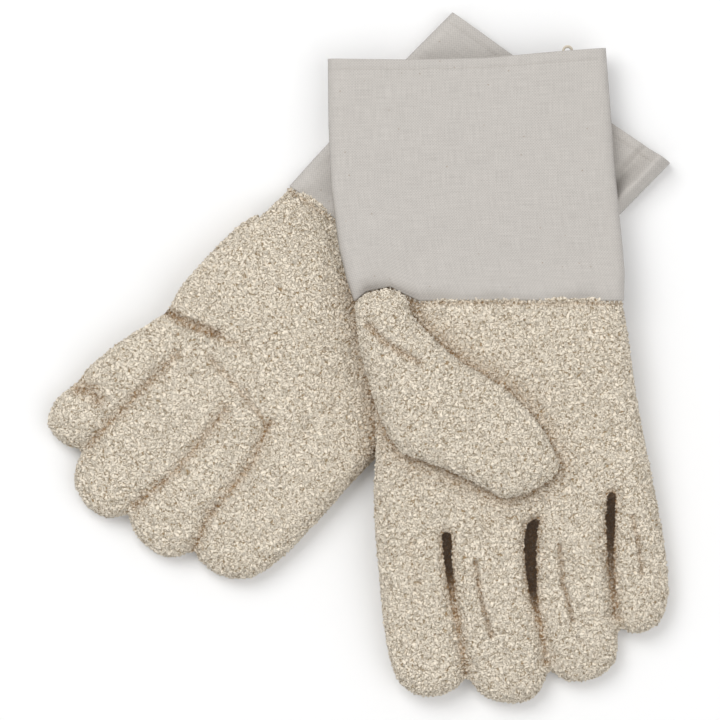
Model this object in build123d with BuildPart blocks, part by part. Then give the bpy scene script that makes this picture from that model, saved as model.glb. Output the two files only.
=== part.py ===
from build123d import *
import os
from dataclasses import dataclass
from math import atan2, cos, degrees, radians, sin, sqrt, tan

# A pair of loop terry gauntlet gloves with canvas cuffs, laid crosswise on a flat surface: the left glove lies
# below with its back up, and the right glove lies across it with its palm up and its thumb folded over the palm.
# Each glove has a plan frame of its own: x runs across it towards its thumb side, y runs from the wrist towards
# the fingertips, and z is up. The origin of a plan frame is the middle of that glove's wrist seam.

# ------------------------------------------------------------------ cloth and clearances, mm
TERRY = 4.0  # thickness of the loop terry
THIN_TERRY = 2.2  # terry of the left thumb, pressed flat under the palm
CANVAS = 1.3  # thickness of the cuff cloth
HEM_WALL = 2.6  # the cuff cloth folded double at the mouth
HEM_LENGTH = 6.0  # depth of the folded hem
SEAM_LENGTH = 3.0  # depth of the wrist seam
FOLD_GAP = 0.6  # clear gap where one piece folds against another
SEAM_GAP = 0.1  # gap between two cloth edges sewn together
FINGER_GAP = 1.4  # gap between two fingers at the knuckles
TIP_GAP = 1.8  # gap between two fingers at their tips
THUMB_CLEAR = 0.6  # gap between a thumb and the palm it is folded over
THUMB_OUT = 1.2  # how far outside the hand's edge a thumb's fold line runs

# ------------------------------------------------------------------ where the gloves lie, mm and degrees
RIGHT_WRIST = (68.85, 29.7)  # middle of the right wrist seam
RIGHT_HEADING = -84.0  # plan direction of its fingers
LEFT_WRIST = (16.45, 53.9)
LEFT_HEADING = -135.0

# ------------------------------------------------------------------ cuffs, mm and degrees
CUFF_LENGTH = 134.0  # wrist seam to mouth
CUFF_MOUTH_DEPTH = 12.0  # height of the flat cuff at its mouth
WRIST_DEPTH = 10.5  # height of both gloves at the wrist seam
RIGHT_MOUTH_WIDTH = 153.5
RIGHT_CUFF_WIDTH = 157.0  # widest place, halfway
RIGHT_WRIST_WIDTH = 147.0
LEFT_MOUTH_WIDTH = 147.0
LEFT_CUFF_WIDTH = 145.0
LEFT_WRIST_WIDTH = 142.5
RIGHT_WRIST_SKEW = -5.5
LEFT_WRIST_SKEW = 10.9
RIGHT_MOUTH_SKEW = -4.2
LEFT_MOUTH_SKEW = 11.0

# ------------------------------------------------------------------ hands, mm and degrees
RIGHT_KNUCKLE_Y = 120.0  # knuckle line, where it crosses the plan frame's y axis
LEFT_KNUCKLE_Y = 112.0
RIGHT_KNUCKLE_SKEW = 7.4
LEFT_KNUCKLE_SKEW = 2.9
RIGHT_HAND_DEPTH = 15.0  # height of the hand between wrist and knuckles
LEFT_HAND_DEPTH = 13.0
KNUCKLE_EXTRA = 1.0  # a hand is this much deeper at the knuckles
RIGHT_THUMB_EDGE = 72.0  # thumb-side edge of the hand, from the plan frame's y axis
LEFT_THUMB_EDGE = 69.5
RIGHT_KNUCKLE_EDGE = 74.6
LEFT_KNUCKLE_EDGE = 71.6
RIGHT_LITTLE_EDGE = 76.5  # little-finger edge of the hand, halfway
LEFT_LITTLE_EDGE = 72.0
RIGHT_TIP_EDGE = 74.8  # thumb-side edge of the index fingertip
LEFT_TIP_EDGE = 74.5
RIGHT_FOURCHETTE = 14.0  # side strip between two fingers, as seen from above
LEFT_FOURCHETTE = 8.0

# ------------------------------------------------------------------ how the gloves rest, mm and mm per mm
STACK_CLEAR = 0.5  # between the left cuff and the right cuff lying on it
RIGHT_WRIST_REST = 23.0  # underside of the right wrist, propped on the left hand
RIGHT_HAND_FALL = 0.102  # fall from the wrist to the fingertips
RIGHT_ROLL = 0.033  # rise towards the thumb side
LEFT_THUMB_LIFT = 13.0  # underside of the left hand at its thumb side, lifted by the thumb below
LEFT_LITTLE_LIFT = 3.0
LIFT_START, LIFT_FULL, LIFT_FALL, LIFT_END = 14.0, 40.0, 106.0, 196.0

# ------------------------------------------------------------------ hanging loop, mm
LOOP_WIDTH, LOOP_LENGTH, LOOP_CORD, LOOP_SHOWS = 7.0, 13.0, 2.4, 5.5
LOOP_SHARE = 0.3567  # how far towards the little-finger side it is, as a share of the mouth's width

CORNER = 0.45  # corner radius of a section, as a share of its depth


@dataclass
class Station:
    """A section across a glove: its centre in plan, its width and depth, and its turn in plan."""

    x: float
    y: float
    width: float
    depth: float
    skew: float


@dataclass
class Finger:
    """A finger, with its widths at the knuckles and near the tip and the reach of its tip."""

    name: str
    base_width: float
    tip_width: float
    depth: float
    tip_y: float
    has_fourchette: bool = True


RIGHT_FINGERS = [
    Finger("index", 37.4, 40.0, 17.0, 213.5, False),
    Finger("middle", 49.4, 43.0, 17.0, 222.0),
    Finger("ring", 40.4, 38.6, 17.0, 214.0),
    Finger("little", 24.6, 29.2, 17.0, 190.0),
]
LEFT_FINGERS = [
    Finger("index", 24.6, 27.0, 19.0, 198.0, False),
    Finger("middle", 38.4, 41.5, 17.0, 216.5),
    Finger("ring", 22.0, 35.0, 17.0, 209.0),
    Finger("little", 53.6, 33.2, 16.0, 193.0),
]

# The thumbs run from the hinge line on the hand's thumb side across the palm, each listed from root to tip.
THUMB_ROOT_DEPTH = 13.0
THUMB_SWELL = 1.038  # the right thumb is this much deeper halfway along
RIGHT_THUMB = [
    Station(RIGHT_THUMB_EDGE + THUMB_OUT, 41.0, 74.0, THUMB_ROOT_DEPTH, 90.0),
    Station(48.0, 44.0, 70.0, THUMB_ROOT_DEPTH * THUMB_SWELL, 66.0),
    Station(23.0, 61.0, 58.0, THUMB_ROOT_DEPTH * THUMB_SWELL, 62.0),
    Station(1.0, 78.0, 50.0, THUMB_ROOT_DEPTH * THUMB_SWELL, 57.0),
    Station(-8.5, 90.0, 43.0, THUMB_ROOT_DEPTH, 50.0),
    Station(-14.0, 97.0, 33.0, THUMB_ROOT_DEPTH * 0.846, 48.0),
    Station(-17.2, 101.0, 16.0, THUMB_ROOT_DEPTH * 0.538, 48.0),
]
LEFT_THUMB = [
    Station(LEFT_THUMB_EDGE + THUMB_OUT, 64.0, 50.0, 10.5, 90.0),
    Station(47.0, 66.0, 50.0, 9.4, 66.0),
    Station(23.0, 75.0, 48.0, 8.0, 62.0),
    Station(2.0, 87.0, 42.0, 6.6, 57.0),
    Station(-7.5, 95.0, 36.0, 6.0, 50.0),
    Station(-12.5, 99.5, 28.0, 5.4, 48.0),
    Station(-15.5, 102.5, 14.0, 4.0, 48.0),
]


def between(low, high, share):
    return low + (high - low) * share


def right_rest(x, y):
    """Height of the right glove's underside: a slope up to the wrist, then down to the fingertips."""
    if y > 0:
        return RIGHT_WRIST_REST - RIGHT_HAND_FALL * y + RIGHT_ROLL * x
    share = max(0.0, 1 + y / CUFF_LENGTH)
    return between(CUFF_MOUTH_DEPTH + STACK_CLEAR, RIGHT_WRIST_REST, share) + RIGHT_ROLL * x * share


def left_rest(x, y):
    """Height of the left glove's underside, which the folded thumb lifts on the thumb side."""
    rise = (y - LIFT_START) / (LIFT_FULL - LIFT_START)
    fall = (LIFT_END - y) / (LIFT_END - LIFT_FALL)
    side = (x + LEFT_LITTLE_EDGE) / (LEFT_THUMB_EDGE + LEFT_LITTLE_EDGE)
    return between(LEFT_LITTLE_LIFT, LEFT_THUMB_LIFT, side) * max(0.0, min(rise, fall, 1.0))


def right_thumb_rest(x, y):
    """Height of the palm that the right thumb lies on."""
    slope = RIGHT_WRIST_REST - RIGHT_HAND_FALL * y + RIGHT_ROLL * x
    return slope + RIGHT_HAND_DEPTH + KNUCKLE_EXTRA + THUMB_CLEAR


def left_thumb_rest(x, y):
    """The left thumb lies on the same surface as the gloves do."""
    return 0.0


@dataclass
class Glove:
    """Where a glove lies, what is under it and its sizes."""

    side: str
    wrist: tuple
    heading: float
    rest: object
    thumb_rest: object
    palm_up: bool
    mouth_width: float
    cuff_width: float
    wrist_width: float
    mouth_skew: float
    wrist_skew: float
    hand_depth: float
    thumb_edge: float
    little_edge: float
    knuckle_y: float
    knuckle_skew: float
    knuckle_edge: float
    tip_edge: float
    fingers: list
    thumb: list
    thumb_wall: float
    fourchette: float

    def direction(self, x, y, z=0.0):
        """A direction given in the plan frame, in the pair's frame."""
        turn = radians(self.heading)
        return Vector(x * sin(turn) + y * cos(turn), -x * cos(turn) + y * sin(turn), z)

    def place(self, x, y, z):
        """A point given in the plan frame, in the pair's frame."""
        return Vector(*self.wrist, 0) + self.direction(x, y, z)

    def plane(self, station, rest, back=0.0):
        """The upright plane of a station, turned with what it rests on and moved back along its normal."""
        across = (cos(radians(station.skew)), sin(radians(station.skew)))
        x = station.x + back * across[1]
        y = station.y - back * across[0]
        slope = (rest(x + across[0], y + across[1]) - rest(x - across[0], y - across[1])) / 2
        origin = self.place(x, y, rest(x, y) + station.depth / 2)
        x_dir = self.direction(*across, slope)
        return Plane(origin=origin, x_dir=x_dir, z_dir=self.direction(across[1], -across[0]))

    def knuckle_width(self):
        return sum(finger.base_width for finger in self.fingers) + FINGER_GAP * (len(self.fingers) - 1)

    def knuckle(self, x):
        """Where the knuckle line is at a distance across the glove."""
        return self.knuckle_y + x * tan(radians(self.knuckle_skew))

    def cuff_stations(self):
        mouth_x = (self.mouth_width - self.wrist_width) / 2 * (-1 if self.palm_up else 1)
        return [
            Station(mouth_x, -CUFF_LENGTH, self.mouth_width, CUFF_MOUTH_DEPTH, self.mouth_skew),
            Station(0, -CUFF_LENGTH / 2, self.cuff_width, between(CUFF_MOUTH_DEPTH, WRIST_DEPTH, 0.5),
                    between(self.mouth_skew, self.wrist_skew, 0.5)),
            Station(0, 0, self.wrist_width, WRIST_DEPTH, self.wrist_skew),
        ]

    def hand_stations(self):
        """The hand from the wrist seam to the knuckles."""
        width = self.knuckle_width()
        knuckle_x = self.knuckle_edge - width / 2
        halfway = Station((self.thumb_edge - self.little_edge) / 2, self.knuckle_y / 3,
                          self.thumb_edge + self.little_edge, self.hand_depth, self.wrist_skew / 2)
        return [
            Station(0, 0, self.wrist_width, WRIST_DEPTH, self.wrist_skew),
            halfway,
            Station(between(halfway.x, knuckle_x, 0.5), self.knuckle_y * 2 / 3,
                    between(halfway.width, width, 0.5), self.hand_depth, self.knuckle_skew / 2),
            Station(knuckle_x, self.knuckle(knuckle_x), width / cos(radians(self.knuckle_skew)),
                    self.hand_depth + KNUCKLE_EXTRA, self.knuckle_skew),
        ]

    def finger_stations(self):
        """Each finger's stations, root to tip, side by side from the thumb side."""
        base_edge = self.knuckle_edge
        tip_edge = self.tip_edge
        rows = []
        for finger in self.fingers:
            base_x = base_edge - finger.base_width / 2
            tip_x = tip_edge - finger.tip_width / 2
            base_y = self.knuckle(base_x)
            lean = degrees(atan2(base_x - tip_x, finger.tip_y - base_y))
            round_length = finger.tip_width * 0.45
            length = finger.tip_y - base_y
            stations = [Station(base_x, base_y, finger.base_width / cos(radians(self.knuckle_skew)),
                                finger.depth, self.knuckle_skew)]
            for share in (0.35, 1 - round_length / length):
                stations.append(Station(between(base_x, tip_x, share), between(base_y, finger.tip_y, share),
                                        between(finger.base_width, finger.tip_width, share),
                                        finger.depth, lean))
            for left, deep in ((0.45, 0.9), (0.1, 0.62)):
                share = 1 - round_length * left / length
                stations.append(Station(between(base_x, tip_x, share), between(base_y, finger.tip_y, share),
                                        finger.tip_width * sqrt(1 - (1 - left) ** 2),
                                        finger.depth * deep, lean))
            rows.append(stations)
            base_edge -= finger.base_width + FINGER_GAP
            tip_edge -= finger.tip_width + TIP_GAP
        return rows


RIGHT = Glove(
    "right", RIGHT_WRIST, RIGHT_HEADING, right_rest, right_thumb_rest, True,
    RIGHT_MOUTH_WIDTH, RIGHT_CUFF_WIDTH, RIGHT_WRIST_WIDTH, RIGHT_MOUTH_SKEW, RIGHT_WRIST_SKEW,
    RIGHT_HAND_DEPTH, RIGHT_THUMB_EDGE, RIGHT_LITTLE_EDGE, RIGHT_KNUCKLE_Y, RIGHT_KNUCKLE_SKEW,
    RIGHT_KNUCKLE_EDGE, RIGHT_TIP_EDGE, RIGHT_FINGERS, RIGHT_THUMB, TERRY, RIGHT_FOURCHETTE,
)
LEFT = Glove(
    "left", LEFT_WRIST, LEFT_HEADING, left_rest, left_thumb_rest, False,
    LEFT_MOUTH_WIDTH, LEFT_CUFF_WIDTH, LEFT_WRIST_WIDTH, LEFT_MOUTH_SKEW, LEFT_WRIST_SKEW,
    LEFT_HAND_DEPTH, LEFT_THUMB_EDGE, LEFT_LITTLE_EDGE, LEFT_KNUCKLE_Y, LEFT_KNUCKLE_SKEW,
    LEFT_KNUCKLE_EDGE, LEFT_TIP_EDGE, LEFT_FINGERS, LEFT_THUMB, THIN_TERRY, LEFT_FOURCHETTE,
)


def section(width, depth, wall=0.0, mode=Mode.ADD):
    """A rounded flat section, drawn in the sketch that is open."""
    inner_depth = depth - 2 * wall
    RectangleRounded(width - 2 * wall, inner_depth, inner_depth * CORNER, mode=mode)


def along(stations, share):
    """A station between the first two of a row."""
    first, second = stations[0], stations[1]
    return Station(between(first.x, second.x, share), between(first.y, second.y, share),
                   between(first.width, second.width, share), between(first.depth, second.depth, share),
                   between(first.skew, second.skew, share))


def trimmed(stations, start, end):
    """The stations with both ends of the row cut back by a length."""
    run = stations[1].y - stations[0].y
    last_run = stations[-1].y - stations[-2].y
    tail = along([stations[-1], stations[-2]], end / last_run)
    return [along(stations, start / run)] + stations[1:-1] + [tail]


def make_panel(glove, stations, wall, upper):
    """One cloth panel of a flat tube: its upper or lower half, with half of each side edge."""
    with BuildPart() as panel:
        for station in stations:
            half = station.depth / 2
            side = -1 if upper else 1
            with BuildSketch(glove.plane(station, glove.rest)):
                section(station.width, station.depth)
                section(station.width, station.depth, wall, Mode.SUBTRACT)
                with Locations((0, side * (half - SEAM_GAP / 2))):
                    Rectangle(station.width + wall, station.depth, mode=Mode.SUBTRACT)
        loft()
    return panel


def make_band(glove, stations, wall):
    """A closed band of cloth round a flat tube."""
    with BuildPart() as band:
        for station in stations:
            with BuildSketch(glove.plane(station, glove.rest)):
                section(station.width, station.depth)
        loft()
        for station, back in zip(stations, (1.0, -1.0)):
            with BuildSketch(glove.plane(station, glove.rest, back)):
                section(station.width, station.depth, wall)
        loft(mode=Mode.SUBTRACT)
    return band


def make_digit(glove, stations, rest, wall, ruled):
    """A finger or thumb as a closed-ended hollow tube. Its root stands clear of the fold line."""
    with BuildPart() as digit:
        for number, station in enumerate(stations):
            back = -FOLD_GAP / 2 if number == 0 else 0.0
            with BuildSketch(glove.plane(station, rest, back)):
                section(station.width, station.depth)
        loft(ruled=ruled)
        for number, station in enumerate(stations[:-1]):
            back = 1.0 if number == 0 else 0.0
            with BuildSketch(glove.plane(station, rest, back)):
                section(station.width, station.depth, wall)
        loft(ruled=ruled, mode=Mode.SUBTRACT)
    return digit


def digit_seam(glove, stations, rest, shift=0.0):
    """The plane halfway up a digit, which its front and back meet at, moved up by a shift."""
    root, tip = stations[0], stations[-2]
    start = glove.place(root.x, root.y, rest(root.x, root.y) + root.depth / 2 + shift)
    end = glove.place(tip.x, tip.y, rest(tip.x, tip.y) + tip.depth / 2 + shift)
    run = end - start
    across = glove.plane(tip, rest).x_dir
    normal = run.cross(across)
    if normal.Z < 0:
        normal = normal * -1
    return Plane(origin=start, x_dir=run, z_dir=normal)


def side_plane(glove, stations, strip, shift=0.0):
    """The upright plane between a finger's panels and the side strip on its thumb side."""
    root, tip = stations[0], stations[-3]
    start = glove.place(root.x + root.width / 2 - strip + shift, root.y, 0)
    end = glove.place(tip.x + tip.width / 2 - strip + shift, tip.y, 0)
    run = end - start
    normal = run.cross(Vector(0, 0, 1))
    return Plane(origin=start, x_dir=run, z_dir=normal)


def keep(builder, name):
    """Label a finished piece and write its file."""
    builder.part.label = name
    export_step(builder.part, f"parts/{name}.step")


def build_cuff(glove):
    """The canvas gauntlet: a front and a back panel, and the folded hem round the mouth."""
    stations = glove.cuff_stations()
    panels = trimmed(stations, HEM_LENGTH + SEAM_GAP, FOLD_GAP)
    front = make_panel(glove, panels, CANVAS, glove.palm_up)
    keep(front, f"{glove.side}_cuff_front")
    back = make_panel(glove, panels, CANVAS, not glove.palm_up)
    keep(back, f"{glove.side}_cuff_back")
    hem_end = along(stations, HEM_LENGTH / (stations[1].y - stations[0].y))
    hem = make_band(glove, [stations[0], hem_end], HEM_WALL)
    keep(hem, f"{glove.side}_cuff_hem")


def build_hand(glove):
    """The palm and back panels of terry, and the overlocked seam that joins them to the cuff."""
    stations = glove.hand_stations()
    panels = trimmed(stations, SEAM_LENGTH + SEAM_GAP, FOLD_GAP / 2)
    palm = make_panel(glove, panels, TERRY, glove.palm_up)
    keep(palm, f"{glove.side}_palm")
    back = make_panel(glove, panels, TERRY, not glove.palm_up)
    keep(back, f"{glove.side}_back")
    seam_end = along(stations, SEAM_LENGTH / (stations[1].y - stations[0].y))
    wrist_seam = make_band(glove, [stations[0], seam_end], HEM_WALL)
    keep(wrist_seam, f"{glove.side}_wrist_seam")


def build_digit(glove, name, stations, rest, wall, strip):
    """A digit's front and back panels and, where it has one, the side strip between them."""
    digit = make_digit(glove, stations, rest, wall, ruled=name != "thumb")
    below = digit_seam(glove, stations, rest, -SEAM_GAP / 2)
    above = digit_seam(glove, stations, rest, SEAM_GAP / 2)
    panels = {"front": glove.palm_up, "back": not glove.palm_up}
    for panel_name, upper in panels.items():
        with BuildPart() as panel:
            add(digit.part)
            split(bisect_by=above if upper else below, keep=Keep.TOP if upper else Keep.BOTTOM)
            if strip:
                split(bisect_by=side_plane(glove, stations, strip, -SEAM_GAP / 2), keep=Keep.BOTTOM)
        keep(panel, f"{glove.side}_{name}_{panel_name}")
    if strip:
        with BuildPart() as fourchette:
            add(digit.part)
            split(bisect_by=side_plane(glove, stations, strip, SEAM_GAP / 2), keep=Keep.TOP)
        keep(fourchette, f"{glove.side}_{name}_side")


def build_digits(glove):
    for finger, stations in zip(glove.fingers, glove.finger_stations()):
        strip = glove.fourchette if finger.has_fourchette else 0.0
        build_digit(glove, finger.name, stations, glove.rest, TERRY, strip)
        print_fold(glove, finger.name, stations[0], glove.rest, stations[0].depth)
    build_digit(glove, "thumb", glove.thumb, glove.thumb_rest, glove.thumb_wall, 0.0)
    print_fold(glove, "thumb", glove.thumb[0], glove.thumb_rest, 0.0 if glove.palm_up else glove.thumb[0].depth)
    print_fold(glove, "wrist", glove.cuff_stations()[2], glove.rest, WRIST_DEPTH if glove.palm_up else 0.0)


def print_fold(glove, name, station, rest, height):
    """Report a fold line: its middle in metres and its direction."""
    plane = glove.plane(station, rest)
    middle = glove.place(station.x, station.y, rest(station.x, station.y) + height)
    spot = [round(value / 1000, 5) for value in middle]
    print("fold", f"{glove.side}_{name}", spot, [round(value, 5) for value in plane.x_dir])


def build_hanging_loop(glove):
    """The small loop of terry tape sewn inside the mouth of the right cuff, which shows above the hem."""
    mouth = glove.cuff_stations()[0]
    x = mouth.x - LOOP_SHARE * mouth.width
    y = mouth.y + (x - mouth.x) * tan(radians(mouth.skew)) + LOOP_LENGTH / 2 - LOOP_SHOWS
    origin = glove.place(x, y, glove.rest(x, y) + CUFF_MOUTH_DEPTH / 2)
    with BuildPart() as hanging_loop:
        with BuildSketch(Plane(origin=origin, x_dir=glove.direction(0, 1), z_dir=(0, 0, 1))):
            SlotOverall(LOOP_LENGTH, LOOP_WIDTH)
            SlotOverall(LOOP_LENGTH - 2 * LOOP_CORD, LOOP_WIDTH - 2 * LOOP_CORD, mode=Mode.SUBTRACT)
        extrude(amount=LOOP_CORD / 2, both=True)
        fillet(hanging_loop.edges(), LOOP_CORD * 0.3)
    keep(hanging_loop, f"{glove.side}_hanging_loop")


os.makedirs("parts", exist_ok=True)
for side in (LEFT, RIGHT):
    build_cuff(side)
    build_hand(side)
    build_digits(side)
build_hanging_loop(RIGHT)
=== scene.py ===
import logging
import math
from dataclasses import dataclass, field
from enum import Enum
from typing import Callable, Optional, Sequence

import bmesh
import bpy
import numpy as np
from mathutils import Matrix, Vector


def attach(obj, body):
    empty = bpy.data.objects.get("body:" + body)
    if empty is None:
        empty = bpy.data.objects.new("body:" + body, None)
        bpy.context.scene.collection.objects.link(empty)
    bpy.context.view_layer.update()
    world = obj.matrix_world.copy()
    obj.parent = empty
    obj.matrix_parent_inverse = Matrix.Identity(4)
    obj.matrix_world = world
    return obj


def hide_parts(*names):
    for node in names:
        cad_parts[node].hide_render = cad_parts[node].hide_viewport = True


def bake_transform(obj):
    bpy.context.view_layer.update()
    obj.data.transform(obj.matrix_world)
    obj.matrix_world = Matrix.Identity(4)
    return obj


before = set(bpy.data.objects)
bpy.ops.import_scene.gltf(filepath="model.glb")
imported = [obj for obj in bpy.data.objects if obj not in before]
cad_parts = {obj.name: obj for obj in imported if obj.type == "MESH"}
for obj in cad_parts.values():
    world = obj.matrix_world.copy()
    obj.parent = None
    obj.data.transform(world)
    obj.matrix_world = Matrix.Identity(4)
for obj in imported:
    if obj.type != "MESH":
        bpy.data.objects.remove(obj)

log = logging.getLogger("gloves")

MM = 0.001
LEAST_HEIGHT = 0.1  # how far the lowest loops stay above the surface that the pair lies on, in millimetres
DEEPEST = 1.6  # the most painted shade the pile's colour takes, as down in an open gap between fingers
Point = tuple[float, float]
Rest = Callable[[np.ndarray, np.ndarray], np.ndarray]


class Side(Enum):
    """Which glove of the pair a piece belongs to."""

    LEFT = "left"
    RIGHT = "right"


class Panel(Enum):
    """Which of a flat tube's two panels faces up."""

    UPPER = "upper"
    LOWER = "lower"


@dataclass(frozen=True)
class PlanFrame:
    """Where a glove lies: x runs towards its thumb side and y towards its fingertips, in millimetres.

    Args:
        wrist: The middle of its wrist seam in the pair's frame, in millimetres.
        heading: The plan direction of its fingers, in degrees.
    """

    wrist: Point
    heading: float

    def turn(self) -> np.ndarray:
        """Returns the 2 by 2 matrix whose rows are the plan axes in the pair's frame."""
        angle = math.radians(self.heading)
        return np.array([[math.sin(angle), -math.cos(angle)], [math.cos(angle), math.sin(angle)]])

    def to_pair(self, points: np.ndarray) -> np.ndarray:
        """Args: points: (n, 3) plan millimetres. Returns: (n, 3) pair frame metres."""
        out = np.array(points, float)
        out[:, :2] = points[:, :2] @ self.turn() + np.array(self.wrist)
        return out * MM

    def to_plan(self, points: np.ndarray) -> np.ndarray:
        """Args: points: (n, 3) pair frame metres. Returns: (n, 3) plan millimetres."""
        out = np.array(points, float) / MM
        out[:, :2] = (out[:, :2] - np.array(self.wrist)) @ self.turn().T
        return out


class LoopNoise:
    """Seeded smooth noise and cell noise, evaluated on whole arrays of points.

    Args:
        seed: Picks the pattern.
    """

    def __init__(self, seed: int) -> None:
        """Draws the tables."""
        rng = np.random.default_rng(seed)
        self.table = rng.permutation(256)
        gradients = rng.normal(size=(256, 3))
        self.gradients = gradients / np.linalg.norm(gradients, axis=1, keepdims=True)
        self.offsets = rng.random((256, 3))
        self.values = rng.random(256)

    def _hash(self, cells: np.ndarray) -> np.ndarray:
        """Args: cells: (n, 3) whole numbers. Returns: (n,) a table index for each."""
        table = self.table
        first = table[cells[:, 0] & 255]
        second = table[(first + cells[:, 1]) & 255]
        return table[(second + cells[:, 2]) & 255]

    def smooth(self, points: np.ndarray) -> np.ndarray:
        """Args: points: (n, 3) in cells. Returns: (n,) values from about -0.9 to 0.9."""
        base = np.floor(points).astype(np.int64)
        part = points - base
        ease = part * part * part * (part * (part * 6 - 15) + 10)
        total = np.zeros(len(points))
        for corner in range(8):
            step = np.array([(corner >> k) & 1 for k in range(3)])
            gradient = self.gradients[self._hash(base + step)]
            weight = np.prod(np.where(step == 1, ease, 1 - ease), axis=1)
            total += weight * np.einsum("ij,ij->i", gradient, part - step)
        return total * 1.6

    def cells(self, points: np.ndarray) -> tuple[np.ndarray, np.ndarray]:
        """Args: points: (n, 3) in cells. Returns: distance to the nearest seed, and that seed's value."""
        base = np.floor(points).astype(np.int64)
        best = np.full(len(points), 9.0)
        value = np.zeros(len(points))
        for number in range(27):
            step = np.array([number % 3 - 1, number // 3 % 3 - 1, number // 9 - 1])
            key = self._hash(base + step)
            away = np.linalg.norm(base + step + self.offsets[key] - points, axis=1)
            nearer = away < best
            best[nearer] = away[nearer]
            value[nearer] = self.values[key[nearer]]
        return best, value


@dataclass(frozen=True)
class Terry:
    """The looped cloth.

    Args:
        loop: Spacing of the loops, in millimetres.
        pile: Height of the loops, in millimetres.
        seed: Picks the pattern.
    """

    loop: float = 1.75
    pile: float = 2.1
    seed: int = 7

    def heights(self, points: np.ndarray) -> np.ndarray:
        """Args: points: (n, 3) millimetres. Returns: (n,) loop heights from 0, in a gap, to 1."""
        noise = LoopNoise(self.seed)
        shift = np.array([31.7, 12.9, 53.1])
        bend = np.stack([noise.smooth(points / 3.4 + k * shift) for k in range(3)], axis=1)
        warped = points + bend * 1.5
        away, value = noise.cells(warped / self.loop)
        dome = np.clip(1.15 - away * 1.25, 0, 1) * (0.6 + 0.4 * value)
        yarn = 1 - np.clip(np.abs(noise.smooth(warped / 1.25 + shift)) * 2.8, 0, 1)
        fine = noise.smooth(points / 0.8) * 0.5 + 0.5
        return np.clip(0.5 * dome + 0.36 * yarn * (0.4 + dome) + 0.2 * fine, 0, 1)


def polygon_inside(points: np.ndarray, outline: np.ndarray) -> np.ndarray:
    """Args: points: (n, 2). outline: (m, 2) closed polygon. Returns: (n,) whether each point is inside."""
    inside = np.zeros(len(points), bool)
    ends = np.roll(outline, -1, axis=0)
    for (x0, y0), (x1, y1) in zip(outline, ends):
        if y0 == y1:
            continue
        crosses = (y0 > points[:, 1]) != (y1 > points[:, 1])
        where = x0 + (points[:, 1] - y0) * (x1 - x0) / (y1 - y0)
        inside ^= crosses & (points[:, 0] < where)
    return inside


def line_distance(points: np.ndarray, line: np.ndarray, widths: Optional[np.ndarray] = None) -> np.ndarray:
    """Distance to an open polyline, less its half width.

    Args:
        points: (n, 2).
        line: (m, 2) corners in order.
        widths: (m,) half widths at the corners, or nothing for a thin line.

    Returns:
        (n,) distances.
    """
    best = np.full(len(points), 1e9)
    for number in range(len(line) - 1):
        start, run = line[number], line[number + 1] - line[number]
        share = np.clip((points - start) @ run / max(float(run @ run), 1e-9), 0, 1)
        away = np.linalg.norm(points - start - share[:, None] * run, axis=1)
        if widths is not None:
            away = away - (widths[number] + share * (widths[number + 1] - widths[number]))
        best = np.minimum(best, away)
    return best


def rounded_outline(corners: Sequence[Point], steps: int = 4) -> np.ndarray:
    """A smooth closed curve through the corners.

    Args:
        corners: Plan points in order.
        steps: Points on each span.

    Returns:
        (n, 2) points.
    """
    points = np.array(corners, float)
    out = []
    for number in range(len(points)):
        p0, p1, p2, p3 = (points[(number + k) % len(points)] for k in (-1, 0, 1, 2))
        for step in range(steps):
            t = step / steps
            out.append(0.5 * (2 * p1 + (p2 - p0) * t + (2 * p0 - 5 * p1 + 4 * p2 - p3) * t * t
                              + (3 * p1 - p0 - 3 * p2 + p3) * t ** 3))
    return np.array(out)


def round_off(share: np.ndarray) -> np.ndarray:
    """Args: share: (n,) distance in from an edge over its rounding. Returns: (n,) share of the height."""
    return np.sqrt(1 - (1 - np.clip(share, 0, 1)) ** 2)


@dataclass(frozen=True)
class Crease:
    """A furrow in the padded cloth, which also darkens the pile's colour with painted shade.

    Args:
        line: Plan points in order.
        width: Half width, in millimetres.
        depth: How deep it is, in millimetres; a ridge is negative.
    """

    line: Sequence[Point]
    width: float = 3.0
    depth: float = 2.0


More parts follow.
